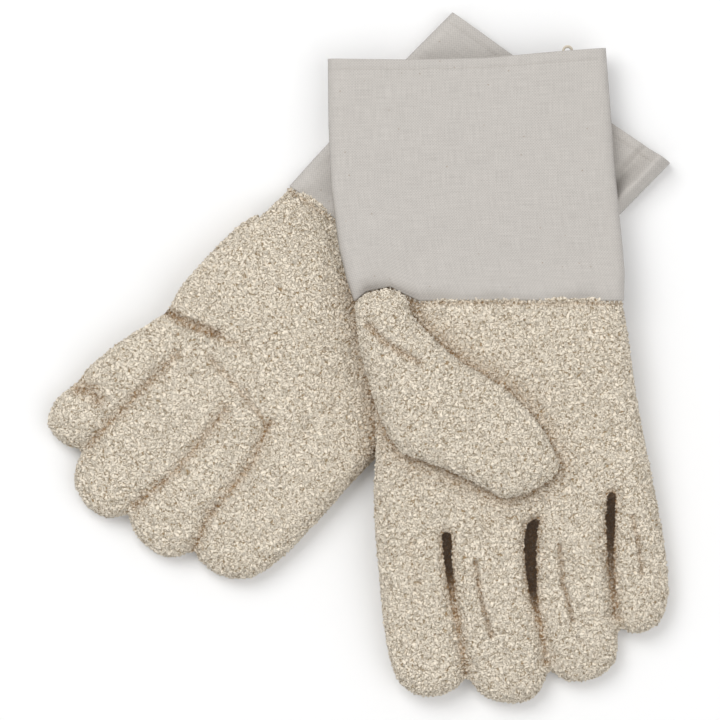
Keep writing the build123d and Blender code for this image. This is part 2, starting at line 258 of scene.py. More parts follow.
@dataclass(frozen=True)
class FormShape:
    """The plan of a padded form and how thick it is.

    Args:
        outline: Its silhouette from above.
        slits: Gaps between fingers, each a row of (x, y, half width).
        depth: Height of the form at each plan point.
        rest: Height of its underside at each plan point.
        rounding: How far in from the edge the form reaches its full height.
        slit_rounding: How far from a gap between fingers it does.
        spread: How far the cloth stands out from the outline.
        creases: Furrows in its upper face.
        pressed: Closed outlines of what lies on it, beside which painted shade darkens the pile.
    """

    outline: Sequence[Point]
    depth: Rest
    rest: Rest
    rounding: float
    slit_rounding: float = 6.0
    spread: float = 1.0
    slits: Sequence[Sequence[tuple[float, float, float]]] = ()
    creases: Sequence[Crease] = ()
    pressed: Sequence[Sequence[Point]] = ()

    def shade(self, points: np.ndarray) -> np.ndarray:
        """Args: points: (n, 2). Returns: (n,) painted shade for the pile's colour, in the creases, along
        the gaps between fingers and beside what lies on it, from 0 to its deepest.
        """
        # Painted shade in the creases.
        total = np.clip(self.sink(points) / 3.4, 0, 1) * 0.9
        # Painted shadow along each gap between fingers, with a near-black core where the gap stands open.
        for slit in self.slits:
            rows = np.array(slit, float)
            away = line_distance(points, rows[:, :2], rows[:, 2])
            parted = np.clip((line_distance(points, rows[:, :2]) - away - 0.6) / 1.4, 0, 1)
            near = np.clip(away, 0, None)
            total += np.exp(-near / 1.8) * (0.82 + 0.13 * parted)
            total += np.exp(-(near / 0.9) ** 2) * 0.65 * parted
        # Painted shade beside the outline of whatever lies on the form.
        for line in self.pressed:
            rows = rounded_outline(line)
            away = line_distance(points, np.vstack([rows, rows[:1]]))
            total += np.exp(-(away / 5.0)) * 0.9
        return np.clip(total, 0, DEEPEST)

    def slit_distance(self, points: np.ndarray, widest: float = 9.0) -> np.ndarray:
        """Distance to the nearest gap between fingers.

        Args:
            points: (n, 2).
            widest: The greatest half width that a gap is given.

        Returns:
            (n,) distances.
        """
        best = np.full(len(points), 1e3)
        for slit in self.slits:
            rows = np.array(slit, float)
            best = np.minimum(best, line_distance(points, rows[:, :2], np.minimum(rows[:, 2], widest)))
        return best

    def edge_distance(self, points: np.ndarray) -> np.ndarray:
        """Args: points: (n, 2). Returns: (n,) distance to the nearest edge, negative outside."""
        return np.minimum(self.outline_distance(points), self.slit_distance(points, 0.4))

    def outline_distance(self, points: np.ndarray) -> np.ndarray:
        """Args: points: (n, 2). Returns: (n,) distance to the outline, negative outside."""
        outline = rounded_outline(self.outline)
        away = line_distance(points, np.vstack([outline, outline[:1]]))
        return np.where(polygon_inside(points, outline), away, -away) + self.spread

    def half_height(self, points: np.ndarray, upper: bool = True) -> np.ndarray:
        """Args: points: (n, 2). upper: Which face. Returns: (n,) its height from the form's middle."""
        outer, slit = self.outline_distance(points), self.slit_distance(points, 9.0 if upper else 0.4)
        crown = 0.92 + 0.08 * np.clip(np.minimum(outer, slit) / 22.0, 0, 1)
        crown *= round_off(outer / self.rounding) * round_off(slit / self.slit_rounding)
        return crown * self.depth(points[:, 0], points[:, 1]) / 2

    def sink(self, points: np.ndarray) -> np.ndarray:
        """Args: points: (n, 2). Returns: (n,) how far the upper face is pulled down by the creases."""
        total = np.zeros(len(points))
        for crease in self.creases:
            away = line_distance(points, np.array(crease.line, float))
            total += crease.depth * np.exp(-(away / crease.width) ** 2)
        return total


@dataclass(frozen=True)
class FormSizes:
    """How finely a padded form is made, in millimetres.

    Args:
        grid: Spacing of the first grid.
        sim_voxel: Spacing of the mesh that the cloth simulation moves.
        voxel: Spacing of the finished mesh before its last subdivision.
        pressure: Pressure inside the cloth.
        cap: How far the simulation may move a point.
        frames: Length of the simulation.
        quality: Steps the simulation takes in each frame.
        mass: Of each point of the cloth, in kilograms.
        tension: Stiffness of the cloth as it stretches.
        compression: Stiffness as it shortens.
        bending: Stiffness as it bends.
    """

    grid: float = 1.5
    sim_voxel: float = 2.6
    voxel: float = 1.05
    pressure: float = 3.0
    cap: float = 1.6
    frames: int = 14
    quality: int = 4
    mass: float = 0.2
    tension: float = 18.0
    compression: float = 12.0
    bending: float = 2.0


def new_object(name: str, data: bpy.types.ID) -> bpy.types.Object:
    """Args: name: The piece's name. data: Its mesh, light or camera. Returns: the object, in the scene."""
    obj = bpy.data.objects.new(name, data)
    bpy.context.scene.collection.objects.link(obj)
    return obj


def finished(name: str, work: bmesh.types.BMesh) -> bpy.types.Mesh:
    """Args: name: The mesh's name. work: What it is made from, freed here. Returns: the mesh."""
    made = bpy.data.meshes.new(name)
    work.to_mesh(made)
    work.free()
    return made


def applied(obj: bpy.types.Object) -> bpy.types.Object:
    """Args: obj: A mesh object with modifiers. Returns: it, with them applied."""
    bpy.context.view_layer.update()
    graph = bpy.context.evaluated_depsgraph_get()
    made = bpy.data.meshes.new_from_object(obj.evaluated_get(graph))
    old = obj.data
    obj.modifiers.clear()
    obj.data = made
    bpy.data.meshes.remove(old)
    return obj


def coordinates(mesh: bpy.types.Mesh) -> np.ndarray:
    """Args: mesh: Any mesh. Returns: (n, 3) its vertex positions."""
    flat = np.zeros(len(mesh.vertices) * 3, np.float32)
    mesh.vertices.foreach_get("co", flat)
    return flat.reshape(-1, 3).astype(float)


def set_coordinates(mesh: bpy.types.Mesh, points: np.ndarray) -> None:
    """Args: mesh: Any mesh. points: (n, 3) its new vertex positions."""
    mesh.vertices.foreach_set("co", points.astype(np.float32).ravel())
    mesh.update()


def set_values(mesh: bpy.types.Mesh, name: str, values: np.ndarray) -> None:
    """Args: mesh: Any mesh. name: The attribute. values: (n,) numbers or (n, 3) vectors, one per vertex."""
    if values.ndim == 1:
        attribute = mesh.attributes.new(name, "FLOAT", "POINT")
        attribute.data.foreach_set("value", values.astype(np.float32))
    else:
        attribute = mesh.attributes.new(name, "FLOAT_VECTOR", "POINT")
        attribute.data.foreach_set("vector", values.astype(np.float32).ravel())


class PaddedForm:
    """One padded terry form: a flat form swelled by a cloth simulation, then covered in loops.

    Args:
        name: Names the working object.
        shape: Its plan and heights.
        plan: Where it lies.
        terry: Its cloth.
        sizes: How finely it is made.
    """

    def __init__(
        self, name: str, shape: FormShape, plan: PlanFrame, terry: Terry, sizes: FormSizes
    ) -> None:
        """Keeps what the form is made from."""
        self.name = name
        self.shape = shape
        self.plan = plan
        self.terry = terry
        self.sizes = sizes
        self.obj: Optional[bpy.types.Object] = None

    def build(self) -> bpy.types.Object:
        """Returns: the finished form, in the pair's frame."""
        self._block()
        self._remesh(self.sizes.sim_voxel)
        self._swell()
        self._remesh(self.sizes.voxel)
        self._subdivide()
        self._loops()
        return self.obj

    def _block(self) -> None:
        """The plan as two faces of cloth joined round the edge."""
        outline = np.array(self.shape.outline)
        step = self.sizes.grid
        low, high = outline.min(0) - 2 * step, outline.max(0) + 2 * step
        counts = np.ceil((high - low) / step).astype(int)
        mesh = bmesh.new()
        bmesh.ops.create_grid(mesh, x_segments=int(counts[0]), y_segments=int(counts[1]), size=0.5)
        points = np.array([v.co[:2] for v in mesh.verts])
        points = low + (points + 0.5) * counts * step
        away = self.shape.edge_distance(points)
        slope = np.stack([
            self.shape.edge_distance(points + np.array([0.1, 0])) - away,
            self.shape.edge_distance(points + np.array([0, 0.1])) - away,
        ], axis=1) / 0.1
        length = np.maximum(np.linalg.norm(slope, axis=1, keepdims=True), 0.2)
        outside = away <= 0
        points[outside] -= (slope / length * away[:, None])[outside]
        for vertex, point in zip(mesh.verts, points):
            vertex.co = (point[0], point[1], 0)
        out = set(np.nonzero(outside)[0].tolist())
        far = set(np.nonzero(away < -1.5 * step)[0].tolist())
        mesh.verts.index_update()
        doomed = [f for f in mesh.faces
                  if all(v.index in out for v in f.verts) or any(v.index in far for v in f.verts)]
        bmesh.ops.delete(mesh, geom=doomed, context="FACES")
        bmesh.ops.delete(mesh, geom=[v for v in mesh.verts if not v.link_faces], context="VERTS")
        mesh.verts.index_update()
        raised = bmesh.ops.extrude_face_region(mesh, geom=mesh.faces[:])
        upper = {v for v in raised["geom"] if isinstance(v, bmesh.types.BMVert)}
        lower = [v for v in mesh.verts if v not in upper]
        for group, sign in ((upper, 1.0), (lower, -1.0)):
            rows = list(group)
            flat = np.array([v.co[:2] for v in rows])
            heights = np.maximum(self.shape.half_height(flat, sign > 0), 0.05)
            for vertex, height in zip(rows, heights):
                vertex.co.z = sign * height
        bmesh.ops.recalc_face_normals(mesh, faces=mesh.faces[:])
        made = finished(self.name, mesh)
        set_coordinates(made, coordinates(made) * MM)
        self.obj = new_object(self.name, made)

    def _remesh(self, voxel: float) -> None:
        """Args: voxel: Spacing of the even mesh, in millimetres."""
        modifier = self.obj.modifiers.new("even", "REMESH")
        modifier.mode = "VOXEL"
        modifier.voxel_size = voxel * MM
        modifier.adaptivity = 0.0
        applied(self.obj)

    def _swell(self) -> None:
        """The cloth simulation: pressure from inside, gravity off, and no point moves past the cap."""
        before = coordinates(self.obj.data)
        modifier = self.obj.modifiers.new("cloth", "CLOTH")
        cloth = modifier.settings
        cloth.quality = self.sizes.quality
        cloth.mass = self.sizes.mass
        cloth.use_pressure = True
        cloth.uniform_pressure_force = self.sizes.pressure
        cloth.tension_stiffness = self.sizes.tension
        cloth.compression_stiffness = self.sizes.compression
        cloth.bending_stiffness = self.sizes.bending
        cloth.effector_weights.gravity = 0
        modifier.collision_settings.use_collision = False
        modifier.point_cache.frame_start = 1
        modifier.point_cache.frame_end = self.sizes.frames
        scene = bpy.context.scene
        for number in range(1, self.sizes.frames + 1):
            scene.frame_set(number)
        applied(self.obj)
        after = coordinates(self.obj.data)
        scene.frame_set(1)
        move = after - before
        length = np.maximum(np.linalg.norm(move, axis=1, keepdims=True), 1e-9)
        cap = self.sizes.cap * MM
        set_coordinates(self.obj.data, before + move / length * cap * np.tanh(length / cap))
        log.info("%s swelled by %.2f mm on average", self.name, float(length.mean()) / MM)

    def _subdivide(self) -> None:
        """Smooths the voxels and makes the mesh fine enough for its loops."""
        smooth = self.obj.modifiers.new("smooth", "SMOOTH")
        smooth.iterations = 2
        modifier = self.obj.modifiers.new("finer", "SUBSURF")
        modifier.levels = modifier.render_levels = 1
        applied(self.obj)

    def _loops(self) -> None:
        """Lays the form at its height, presses in the creases, raises the loops and stores the loop heights
        and the painted shade for the colour.
        """
        mesh = self.obj.data
        points = coordinates(mesh) / MM
        flat = points[:, :2]
        upper = np.clip(points[:, 2] / 3.0, 0, 1)
        sink = self.shape.sink(flat)
        depth = self.shape.depth(flat[:, 0], flat[:, 1])
        points[:, 2] += self.shape.rest(flat[:, 0], flat[:, 1]) + depth / 2 - sink * upper
        set_coordinates(mesh, points)
        normals = np.zeros(len(points) * 3, np.float32)
        mesh.vertices.foreach_get("normal", normals)
        heights = self.terry.heights(points)
        points = points + normals.reshape(-1, 3) * ((heights - 0.45) * self.terry.pile)[:, None]
        points[:, 2] = np.maximum(points[:, 2], LEAST_HEIGHT)
        set_coordinates(mesh, self.plan.to_pair(points))
        set_values(mesh, "loops", heights)
        # Painted shade for the pile's colour, kept in the hollow attribute, weaker on the underside.
        set_values(mesh, "painted_shade", self.shape.shade(flat) * np.clip(upper + 0.3, 0, 1))
        mesh.shade_smooth()


def subset(source: bpy.types.Object, name: str, keep: np.ndarray) -> bpy.types.Object:
    """A new object from some of an object's faces, with its vertex attributes.

    Args:
        source: The whole form.
        name: The new piece's name.
        keep: (faces,) which faces it takes.

    Returns:
        The new object.
    """
    mesh = source.data.copy()
    mesh.name = name
    work = bmesh.new()
    work.from_mesh(mesh)
    work.faces.ensure_lookup_table()
    doomed = [work.faces[k] for k in np.nonzero(~keep)[0]]
    bmesh.ops.delete(work, geom=doomed, context="FACES")
    work.to_mesh(mesh)
    work.free()
    return new_object(name, mesh)


def face_centres(mesh: bpy.types.Mesh) -> np.ndarray:
    """Args: mesh: Any mesh. Returns: (faces, 3) the middle of each face."""
    flat = np.zeros(len(mesh.polygons) * 3, np.float32)
    mesh.polygons.foreach_get("center", flat)
    return flat.reshape(-1, 3).astype(float)


# ---------------------------------------------------------------------------------------------- materials


def socket(group: bpy.types.NodeTree, name: str, way: str, kind: str, value: object = None) -> None:
    """Args: group: A node group. name: The socket. way: INPUT or OUTPUT. kind: Its type. value: Default."""
    made = group.interface.new_socket(name=name, in_out=way, socket_type=kind)
    if value is not None:
        made.default_value = value


def add(
    tree: bpy.types.NodeTree, kind: str, inputs: Optional[dict] = None, **settings: object
) -> bpy.types.Node:
    """A new node with its inputs filled or linked.

    Args:
        tree: Where it goes.
        kind: The node's type, less "ShaderNode".
        inputs: A value or a socket for each input, by name or number.
        settings: The node's own properties.

    Returns:
        The node.
    """
    node = tree.nodes.new(f"ShaderNode{kind}")
    for name, value in settings.items():
        setattr(node, name, value)
    for name, value in (inputs or {}).items():
        if isinstance(value, bpy.types.NodeSocket):
            tree.links.new(value, node.inputs[name])
        else:
            node.inputs[name].default_value = value
    return node


def calculated(tree: bpy.types.NodeTree, operation: str, *values: object) -> bpy.types.NodeSocket:
    """Args: tree: Where it goes. operation: The sum. values: Its operands. Returns: the result's socket."""
    return add(tree, "Math", dict(enumerate(values)), operation=operation).outputs[0]


def ranged(
    tree: bpy.types.NodeTree, value: object, stops: Sequence[float], smooth: bool = False
) -> bpy.types.NodeSocket:
    """Maps one range to another.

    Args:
        tree: Where it goes.
        value: The input.
        stops: Its low and high, then the low and high they become.
        smooth: Whether the map eases at its ends.

    Returns:
        The result's socket.
    """
    names = ("From Min", "From Max", "To Min", "To Max")
    return add(tree, "MapRange", {"Value": value, **dict(zip(names, stops))},
               interpolation_type="SMOOTHSTEP" if smooth else "LINEAR").outputs["Result"]


def blended(
    tree: bpy.types.NodeTree, share: object, first: object, second: object
) -> bpy.types.NodeSocket:
    """Args: tree: Where it goes. share: Of the second. first, second: Colours. Returns: their mix."""
    node = add(tree, "Mix", data_type="RGBA")
    colour_in, other_in = node.inputs[6], node.inputs[7]
    for socket_in, value in ((node.inputs["Factor"], share), (colour_in, first), (other_in, second)):
        if isinstance(value, bpy.types.NodeSocket):
            tree.links.new(value, socket_in)
        else:
            socket_in.default_value = value
    return node.outputs[2]


class YarnGroup:
    """A node group that gives the looped yarn's colour, with painted shade and painted highlight in it, and
    its fine relief.

    Args:
        name: The group's name.
    """

    DRIFT = 430.0  # scale of the noise that bends the yarns
    WANDER = 0.0026  # how far it bends them, in metres
    COARSE = (560.0, 0.06)  # scale and width of the furrows between coarse yarns
    FINE = (700.0, 0.045)  # and between fine ones
    LOOPS = 520.0  # scale of the loops
    SPOTS = 210.0  # scale of the warm spots

    def __init__(self, name: str = "looped yarn") -> None:
        """Makes the group and its sockets."""
        self.tree = bpy.data.node_groups.new(name, "ShaderNodeTree")
        socket(self.tree, "Loops", "INPUT", "NodeSocketFloat", 0.5)
        # Hollow brings the painted shade; Gap is the painted shade in the low parts between yarns; Warm is
        # the brown of that painted shade and of random warm spots; Deep is the painted shadow down in open
        # gaps between fingers.
        socket(self.tree, "PaintedShade", "INPUT", "NodeSocketFloat", 0.0)
        socket(self.tree, "Top", "INPUT", "NodeSocketColor", (0.94, 0.85, 0.71, 1))
        socket(self.tree, "Gap", "INPUT", "NodeSocketColor", (0.40, 0.29, 0.16, 1))
        socket(self.tree, "Warm", "INPUT", "NodeSocketColor", (0.34, 0.19, 0.07, 1))
        socket(self.tree, "Deep", "INPUT", "NodeSocketColor", (0.06, 0.033, 0.016, 1))
        socket(self.tree, "Color", "OUTPUT", "NodeSocketColor")
        socket(self.tree, "Height", "OUTPUT", "NodeSocketFloat")
        self._wire()

    def _curl(self, where: bpy.types.NodeSocket, scale: float, width: float) -> bpy.types.NodeSocket:
        """Args: where: Coordinates. scale: Of the noise. width: Of a yarn. Returns: 1 along each yarn."""
        noise = add(self.tree, "TexNoise", {"Vector": where, "Scale": scale, "Detail": 0.0})
        centred = calculated(self.tree, "SUBTRACT", noise.outputs["Fac"], 0.5)
        return ranged(self.tree, calculated(self.tree, "ABSOLUTE", centred), (0.0, width, 1.0, 0.0))

    def _wire(self) -> None:
        """Adds the nodes between the group's inputs and outputs."""
        tree = self.tree
        source, sink = tree.nodes.new("NodeGroupInput"), tree.nodes.new("NodeGroupOutput")
        where = add(tree, "TexCoord").outputs["Object"]
        drift = add(tree, "TexNoise", {"Vector": where, "Scale": self.DRIFT, "Detail": 1.0})
        centre = {0: drift.outputs["Color"], 1: (0.5, 0.5, 0.5)}
        centred = add(tree, "VectorMath", centre, operation="SUBTRACT").outputs[0]
        pushed = add(tree, "VectorMath", {0: centred, "Scale": self.WANDER}, operation="SCALE").outputs[0]
        bent = add(tree, "VectorMath", {0: where, 1: pushed}, operation="ADD").outputs[0]
        moved = add(tree, "VectorMath", {0: bent, 1: (0.31, 0.17, 0.23)}, operation="ADD").outputs[0]
        coarse, fine = (self._curl(bent, *self.COARSE), self._curl(moved, *self.FINE))
        furrows = calculated(tree, "MAXIMUM", coarse, fine)
        cells = add(tree, "TexVoronoi", {"Vector": bent, "Scale": self.LOOPS}).outputs["Distance"]
        domes = ranged(tree, cells, (0.1, 0.75, 1.0, 0.0))
        relief = calculated(tree, "MULTIPLY_ADD", furrows, -0.5, calculated(tree, "MULTIPLY", domes, 0.35))
        relief = calculated(tree, "MULTIPLY_ADD", source.outputs["Loops"], 0.5, relief)
        # Painted shade and highlight: the low parts between the yarns take the dark Gap colour, the raised
        # loops the light Top colour.
        share = ranged(tree, relief, (-0.25, 0.35, 0.0, 1.0), smooth=True)
        cloth = blended(tree, share, source.outputs["Gap"], source.outputs["Top"])
        patch = add(tree, "TexNoise", {"Vector": where, "Scale": self.SPOTS, "Detail": 2.0}).outputs["Fac"]
        spots = calculated(tree, "MULTIPLY", ranged(tree, patch, (0.5, 0.72, 0.0, 0.4)),
                           calculated(tree, "SUBTRACT", 1.0, share))
        # Painted shade from the hollow attribute, strongest in the low parts between yarns, added to the
        # random warm spots and mixed in as the Warm colour.
        low_parts = ranged(tree, relief, (0.0, 0.6, 1.0, 0.12))
        deep = calculated(tree, "MULTIPLY", source.outputs["PaintedShade"], low_parts)
        shade_and_spots = calculated(tree, "ADD", deep, spots)
        mixed = blended(tree, calculated(tree, "MINIMUM", shade_and_spots, 0.95), cloth, source.outputs["Warm"])
        # Painted shadow: near black where the hollow attribute marks an open gap between fingers.
        deep_shadow_share = ranged(tree, source.outputs["PaintedShade"], (0.95, 1.5, 0.0, 0.93), smooth=True)
        mixed = blended(tree, deep_shadow_share, mixed, source.outputs["Deep"])
        tree.links.new(mixed, sink.inputs["Color"])
        tree.links.new(relief, sink.inputs["Height"])


class WeaveGroup:
    """A node group that gives a plain weave's colour and relief from the cloth's own flat coordinates.

    Args:
        name: The group's name.
    """

    def __init__(self, name: str = "plain weave") -> None:
        """Makes the group and its sockets."""
        self.tree = bpy.data.node_groups.new(name, "ShaderNodeTree")
        socket(self.tree, "Threads", "INPUT", "NodeSocketFloat", 1.25)
        socket(self.tree, "Cloth", "INPUT", "NodeSocketColor", (0.52, 0.492, 0.46, 1))
        socket(self.tree, "Fleck", "INPUT", "NodeSocketColor", (0.26, 0.17, 0.1, 1))
        socket(self.tree, "Color", "OUTPUT", "NodeSocketColor")
        socket(self.tree, "Height", "OUTPUT", "NodeSocketFloat")
        self._wire()

    def _wire(self) -> None:
        """Adds the nodes between the group's inputs and outputs."""
        tree = self.tree
        source, sink = tree.nodes.new("NodeGroupInput"), tree.nodes.new("NodeGroupOutput")
        flat = add(tree, "Attribute", attribute_name="weave").outputs["Vector"]
        split = add(tree, "SeparateXYZ", {"Vector": flat})
        waves = [
            calculated(tree, "SINE", calculated(tree, "MULTIPLY", math.pi, calculated(
                tree, "MULTIPLY", split.outputs[axis], source.outputs["Threads"])))
            for axis in ("X", "Y")
        ]
        slubs = []
        for stretch in ((0.08, 1.5, 1.0), (1.5, 0.08, 1.0)):
            scaled = add(tree, "VectorMath", {0: flat, 1: stretch}, operation="MULTIPLY").outputs[0]
            slub = add(tree, "TexNoise", {"Vector": scaled, "Scale": 1.0, "Detail": 3.0})
            slubs.append(slub.outputs["Fac"])
        both = calculated(tree, "ADD", *slubs)
        crossing = calculated(tree, "MULTIPLY", *waves)
        height = calculated(tree, "MULTIPLY_ADD", crossing, 0.4, both)
        tone = ranged(tree, height, (0.4, 1.6, 0.83, 1.15))
        toned = add(tree, "VectorMath", {0: source.outputs["Cloth"], "Scale": tone}, operation="SCALE")
        near = add(tree, "TexVoronoi", {"Vector": flat, "Scale": 0.13}).outputs["Distance"]
        fleck = ranged(tree, near, (0.03, 0.075, 0.5, 0.0))
        mixed = blended(tree, fleck, toned.outputs[0], source.outputs["Fleck"])
        tree.links.new(mixed, sink.inputs["Color"])
        tree.links.new(height, sink.inputs["Height"])


@dataclass(frozen=True)
class ClothFinish:
    """A matt cotton finish.

    Args:
        name: The material's name.
        roughness: Its roughness.
        bump: Depth of its fine relief, in metres.
        strength: Strength of that relief.
        sheen: Its soft sheen.
    """

    name: str
    roughness: float
    bump: float
    strength: float
    sheen: float

    def make(self, tree: bpy.types.NodeTree, **inputs: object) -> bpy.types.Material:
        """Args: tree: The pattern's node group. inputs: Its colours by name. Returns: the material."""
        material = bpy.data.materials.new(self.name)
        material.use_nodes = True
        nodes, links = material.node_tree.nodes, material.node_tree.links
        shader = nodes["Principled BSDF"]
        shader.inputs["Roughness"].default_value = self.roughness
        shader.inputs["Sheen Weight"].default_value = self.sheen
        shader.inputs["Sheen Roughness"].default_value = 0.5
        shader.inputs["Specular IOR Level"].default_value = 0.2
        pattern = nodes.new("ShaderNodeGroup")
        pattern.node_tree = tree
        for name, value in inputs.items():
            pattern.inputs[name].default_value = value
        relief = nodes.new("ShaderNodeBump")
        relief.inputs["Distance"].default_value = self.bump
        relief.inputs["Strength"].default_value = self.strength
        links.new(pattern.outputs["Height"], relief.inputs["Height"])
        links.new(relief.outputs["Normal"], shader.inputs["Normal"])
        links.new(pattern.outputs["Color"], shader.inputs["Base Color"])
        if "Loops" in pattern.inputs:
            # The loop heights and the painted shade, read from the mesh.
            for socket_name, attribute in (("Loops", "loops"), ("PaintedShade", "painted_shade")):
                read = nodes.new("ShaderNodeAttribute")
                read.attribute_name = attribute
                links.new(read.outputs["Fac"], pattern.inputs[socket_name])
        return material


def plain(name: str, colour: tuple[float, float, float], roughness: float) -> bpy.types.Material:
    """Args: name: The material's name. colour: Linear. roughness: Its value. Returns: the material."""
    material = bpy.data.materials.new(name)
    material.use_nodes = True
    shader = material.node_tree.nodes["Principled BSDF"]
    shader.inputs["Base Color"].default_value = (*colour, 1)
    shader.inputs["Roughness"].default_value = roughness
    return material


class Materials:
    """Every finish of the pair, made once."""

    def __init__(self) -> None:
        """Makes them."""
        yarn, weave = YarnGroup().tree, WeaveGroup().tree
        self.terry = ClothFinish("loop terry", 0.95, 0.0009, 1.0, 0.1).make(yarn)
        self.canvas = ClothFinish("cotton canvas", 0.9, 0.00025, 0.35, 0.1).make(weave)
        self.thread = plain("cotton thread", (0.72, 0.68, 0.61), 0.9)
        self.hem = plain("hem thread", (0.56, 0.53, 0.49), 0.9)
        self.tape = plain("cotton tape", (0.68, 0.61, 0.5), 0.9)


# ---------------------------------------------------------------------------------------------- the gloves


@dataclass(frozen=True)
class FingerPlan:
    """A finger's place across the knuckle line.

    Args:
        name: The finger.
        has_side_strip: Whether the frame has a side strip for it.
    """

    name: str
    has_side_strip: bool = True


@dataclass(frozen=True)
class GlovePlan:
    """Everything that sets one glove apart from the other, in plan millimetres.

    Args:
        side: Which glove.
        plan: Where it lies.
        hand: The hand and fingers as one form.
        thumb: The thumb's form.
        knuckle: Height of the knuckle line where it crosses the y axis, and its slope.
        thumb_line: The line the thumb folds on, as its x.
        palm_up: Whether the palm faces up.
        cuff_edges: The cuff's two side edges from the wrist seam to the mouth, thumb side first.
        seam: The cuff's wrist edge from the thumb side to the little-finger side.
        cuff_depth: Height of the flat cuff at the wrist and at the mouth.
        cuff_rest: Height of the cuff's underside.
        loop_at: The plan point where the hanging loop leaves the cuff, if it has one.
        mouth_curve: How far the mouth stands in from a straight edge, across it from the thumb side.
        rolled: How high the cuff's little-finger edge stands in a soft roll.
    """

    side: Side
    plan: PlanFrame
    hand: FormShape
    thumb: FormShape
    knuckle: Point
    thumb_line: float
    palm_up: bool
    cuff_edges: tuple[Sequence[Point], Sequence[Point]]
    seam: Sequence[Point]
    cuff_depth: Point
    cuff_rest: Rest
    loop_at: Optional[Point] = None
    mouth_curve: Sequence[Point] = ((0, 0.0), (1, 0.0))
    rolled: float = 0.0
    fingers: Sequence[FingerPlan] = field(default_factory=lambda: (
        FingerPlan("index", False), FingerPlan("middle"), FingerPlan("ring"), FingerPlan("little")))


def ramp(values: np.ndarray, stops: Sequence[Point]) -> np.ndarray:
    """Args: values: (n,). stops: (value, result) pairs in order. Returns: (n,) results between them."""
    rows = np.array(stops, float)
    return np.interp(values, rows[:, 0], rows[:, 1])


def right_rest(x: np.ndarray, y: np.ndarray) -> np.ndarray:
    """Height of the right glove's underside, propped on the left glove at its wrist."""
    share = np.clip(1 + y / 134.0, 0, 1)
    hand = 23.0 - 0.102 * y + 0.033 * x
    return np.where(y > 0, hand, 12.5 + 10.5 * share + 0.033 * x * share)


def left_rest(x: np.ndarray, y: np.ndarray) -> np.ndarray:
    """Height of the left glove's underside, lifted by the folded thumb."""
    rise = np.clip(np.minimum((y - 14.0) / 26.0, (196.0 - y) / 90.0), 0, 1)
    return (3.0 + 10.0 * (x + 72.0) / 141.5) * rise


def right_depth(x: np.ndarray, y: np.ndarray) -> np.ndarray:
    """Height of the right hand and fingers."""
    return ramp(y, [(-8, 8.6), (4, 10.5), (40, 15.0), (110, 15.6), (140, 17.0)])


def left_depth(x: np.ndarray, y: np.ndarray) -> np.ndarray:
    """Height of the left hand and fingers."""
    return ramp(y, [(-14, 8.6), (10, 10.5), (40, 13.0), (110, 14.0), (135, 17.0)])


RIGHT_PLAN = PlanFrame((68.85, 29.7), -84.0)
LEFT_PLAN = PlanFrame((16.45, 53.9), -135.0)


def thumb_top_rest(x: np.ndarray, y: np.ndarray) -> np.ndarray:
    """Height of the palm under the right thumb."""
    sunk = ramp(x, [(-20, 0.0), (56, 0.0), (72, -8.0)])
    return 23.0 - 0.102 * y + 0.033 * x + 15.2 + sunk


def thumb_top_depth(x: np.ndarray, y: np.ndarray) -> np.ndarray:
    """Height of the right thumb."""
    return ramp(x, [(-28, 10.5), (-10, 13.0), (40, 13.5), (73, 14.0)])


def thumb_low_depth(x: np.ndarray, y: np.ndarray) -> np.ndarray:
    """Height of the left thumb, pressed flat under the palm."""
    return ramp(x, [(-15.5, 4.5), (2, 6.6), (23, 8.0), (47, 9.4), (71, 10.5)])


RIGHT_THUMB = FormShape(
    outline=[
        (72.5, -7), (61, -11.5), (52.8, -11.6), (45.5, -6.5), (42.5, 3), (33, 15.5), (18, 31.5), (3, 43),
        (-9, 55), (-17.5, 66), (-23.5, 77), (-27.3, 88), (-28.8, 94), (-26.5, 98.6), (-17.5, 103.8),
        (-5, 107.8), (3.4, 108.6), (14, 101.5), (35, 89), (46, 83), (55, 78.6), (60.5, 71.5), (65, 59),
        (69, 43), (72.4, 24), (73.4, 6),
    ],
    depth=thumb_top_depth,
    rest=thumb_top_rest,
    rounding=9.0,
    creases=[Crease([(67, 6), (63, 12.2), (55, 20.3), (42, 29.4)], 2.0, 2.8)],
)

LEFT_THUMB = FormShape(
    outline=[
        (71, 39), (71, 89), (56, 93), (30, 99), (12, 106), (0, 112), (-8, 113), (-14, 110), (-16.5, 103),
        (-14, 96), (-9, 86), (0, 70), (20, 54), (40, 45), (56, 40),
    ],
    depth=thumb_low_depth,
    rest=lambda x, y: np.full(len(x), 0.4),
    rounding=7.0,
)

